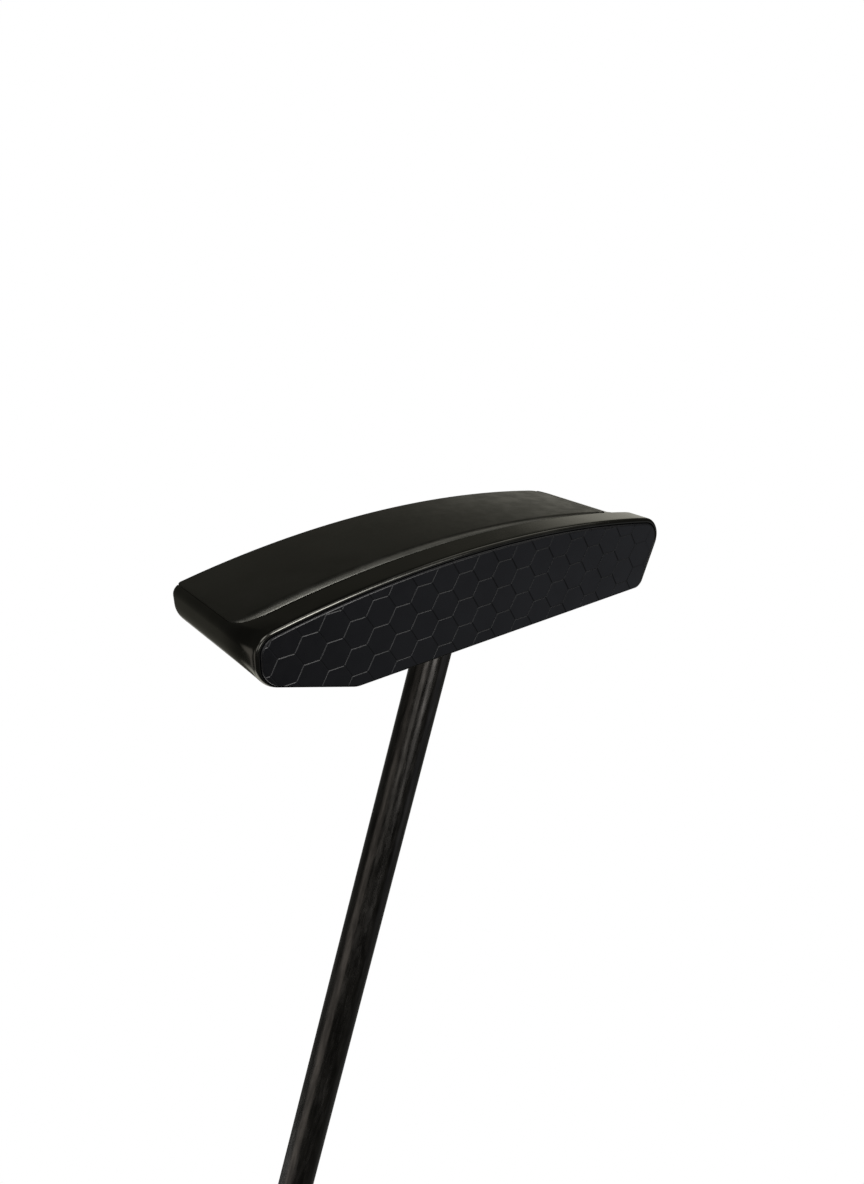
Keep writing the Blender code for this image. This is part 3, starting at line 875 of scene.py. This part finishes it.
def floor():
    """A pale floor under the soled club: clear from below, and with a faint glow of its own."""
    reach = 3.0
    corners = [(-reach, -reach, 0), (reach, -reach, 0), (reach, reach, 0), (-reach, reach, 0)]
    mesh = bpy.data.meshes.new("floor")
    mesh.from_pydata(corners, [], [(0, 1, 2, 3)])
    item = bpy.data.objects.new("floor", mesh)
    bpy.context.scene.collection.objects.link(item)
    paint = Paint("pale_floor", 0.9)
    principled = paint.shader
    paint.color(paint.mix(paint.noise(40.0, 3.0), (0.78, 0.78, 0.77), (0.82, 0.82, 0.81)))
    principled.inputs["Emission Color"].default_value = (1.0, 1.0, 0.99, 1.0)
    principled.inputs["Emission Strength"].default_value = 0.35
    geometry = paint.nodes.new("ShaderNodeNewGeometry")
    clear = paint.nodes.new("ShaderNodeBsdfTransparent")
    mix = paint.nodes.new("ShaderNodeMixShader")
    paint.links.new(geometry.outputs["Backfacing"], mix.inputs["Fac"])
    paint.links.new(principled.outputs["BSDF"], mix.inputs[1])
    paint.links.new(clear.outputs["BSDF"], mix.inputs[2])
    paint.links.new(mix.outputs["Shader"], paint.nodes["Material Output"].inputs["Surface"])
    item.data.materials.append(paint.material)
    item.visible_diffuse = False
    item.visible_glossy = False
    item.visible_transmission = False
    item.visible_shadow = False


def studio():
    """A white backdrop for the camera, and soft boxes round the club for everything else."""
    world = bpy.data.worlds.new("studio")
    bpy.context.scene.world = world
    world.use_nodes = True
    nodes, links = world.node_tree.nodes, world.node_tree.links
    direction = nodes.new("ShaderNodeTexCoord").outputs["Generated"]
    total = nodes.new("ShaderNodeRGB").outputs["Color"]
    total.default_value = (*AMBIENT, 1.0)
    for toward, radius, edge, color in SOFT_BOXES:
        dot = nodes.new("ShaderNodeVectorMath")
        dot.operation = "DOT_PRODUCT"
        dot.inputs[1].default_value = Vector(toward).normalized()
        links.new(direction, dot.inputs[0])
        share = nodes.new("ShaderNodeMapRange")
        share.interpolation_type = "SMOOTHSTEP"
        share.inputs["From Min"].default_value = math.cos(math.radians(radius + edge))
        share.inputs["From Max"].default_value = math.cos(math.radians(radius))
        links.new(dot.outputs["Value"], share.inputs["Value"])
        glow = nodes.new("ShaderNodeVectorMath")
        glow.operation = "SCALE"
        glow.inputs[0].default_value = color
        links.new(share.outputs["Result"], glow.inputs["Scale"])
        add = nodes.new("ShaderNodeVectorMath")
        add.operation = "ADD"
        links.new(total, add.inputs[0])
        links.new(glow.outputs["Vector"], add.inputs[1])
        total = add.outputs["Vector"]
    background = nodes["Background"]
    links.new(total, background.inputs["Color"])
    white = nodes.new("ShaderNodeBackground")
    seen = nodes.new("ShaderNodeMixShader")
    white.inputs["Color"].default_value = (1.0, 1.0, 1.0, 1.0)
    links.new(nodes.new("ShaderNodeLightPath").outputs["Is Camera Ray"], seen.inputs["Fac"])
    links.new(background.outputs["Background"], seen.inputs[1])
    links.new(white.outputs["Background"], seen.inputs[2])
    links.new(seen.outputs["Shader"], nodes["World Output"].inputs["Surface"])


# ================================================================ assembly


def stand_for(piece, node, material):
    piece.data.materials.clear()
    piece.data.materials.append(material)
    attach(piece, "root")
    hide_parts(node)


def refinish(node, material):
    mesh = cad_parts[node].data
    mesh.materials.clear()
    mesh.materials.append(material)


bpy.context.scene.view_settings.view_transform = "Standard"
camera()
floor()
studio()

stand_for(head_body(), "head_body", head_paint())
stand_for(sole_plate(), "sole_plate", sole_paint())
stand_for(face_insert(), "face_insert", insert_paint())
stand_for(shaft(), "shaft", shaft_paint())
skin_rubber = rubber_paint("skin_rubber", (0.013, 0.013, 0.014), (0.022, 0.022, 0.023))
stand_for(grip_skin(), "grip_skin", skin_rubber)
rubber = rubber_paint("collar_rubber", (0.010, 0.010, 0.010), (0.018, 0.018, 0.018))
stand_for(grip_collar(), "grip_collar", rubber)
stand_for(grip_end_cap(), "grip_end_cap", rubber)

film = filler_paint("adhesive_film", (0.50, 0.50, 0.46), (0.60, 0.60, 0.56), 3.0, 0.5, 0.02)
epoxy = filler_paint("amber_epoxy", (0.36, 0.24, 0.10), (0.52, 0.38, 0.18), 2.0, 0.3, 0.02)
plug = filler_paint("grey_plug", (0.20, 0.20, 0.20), (0.28, 0.28, 0.28), 1.5, 0.7, 0.03)
tape = filler_paint("grip_tape", (0.68, 0.67, 0.62), (0.80, 0.79, 0.75), 5.0, 0.8, 0.02)
foam = filler_paint("grip_foam", (0.15, 0.15, 0.16), (0.24, 0.24, 0.25), 0.6, 0.9, 0.08)
refinish("insert_bond", film)
refinish("sole_plate_bond", film)
refinish("shaft_bond", epoxy)
refinish("shaft_tip_plug", plug)
refinish("grip_tape", tape)
refinish("grip_core", foam)
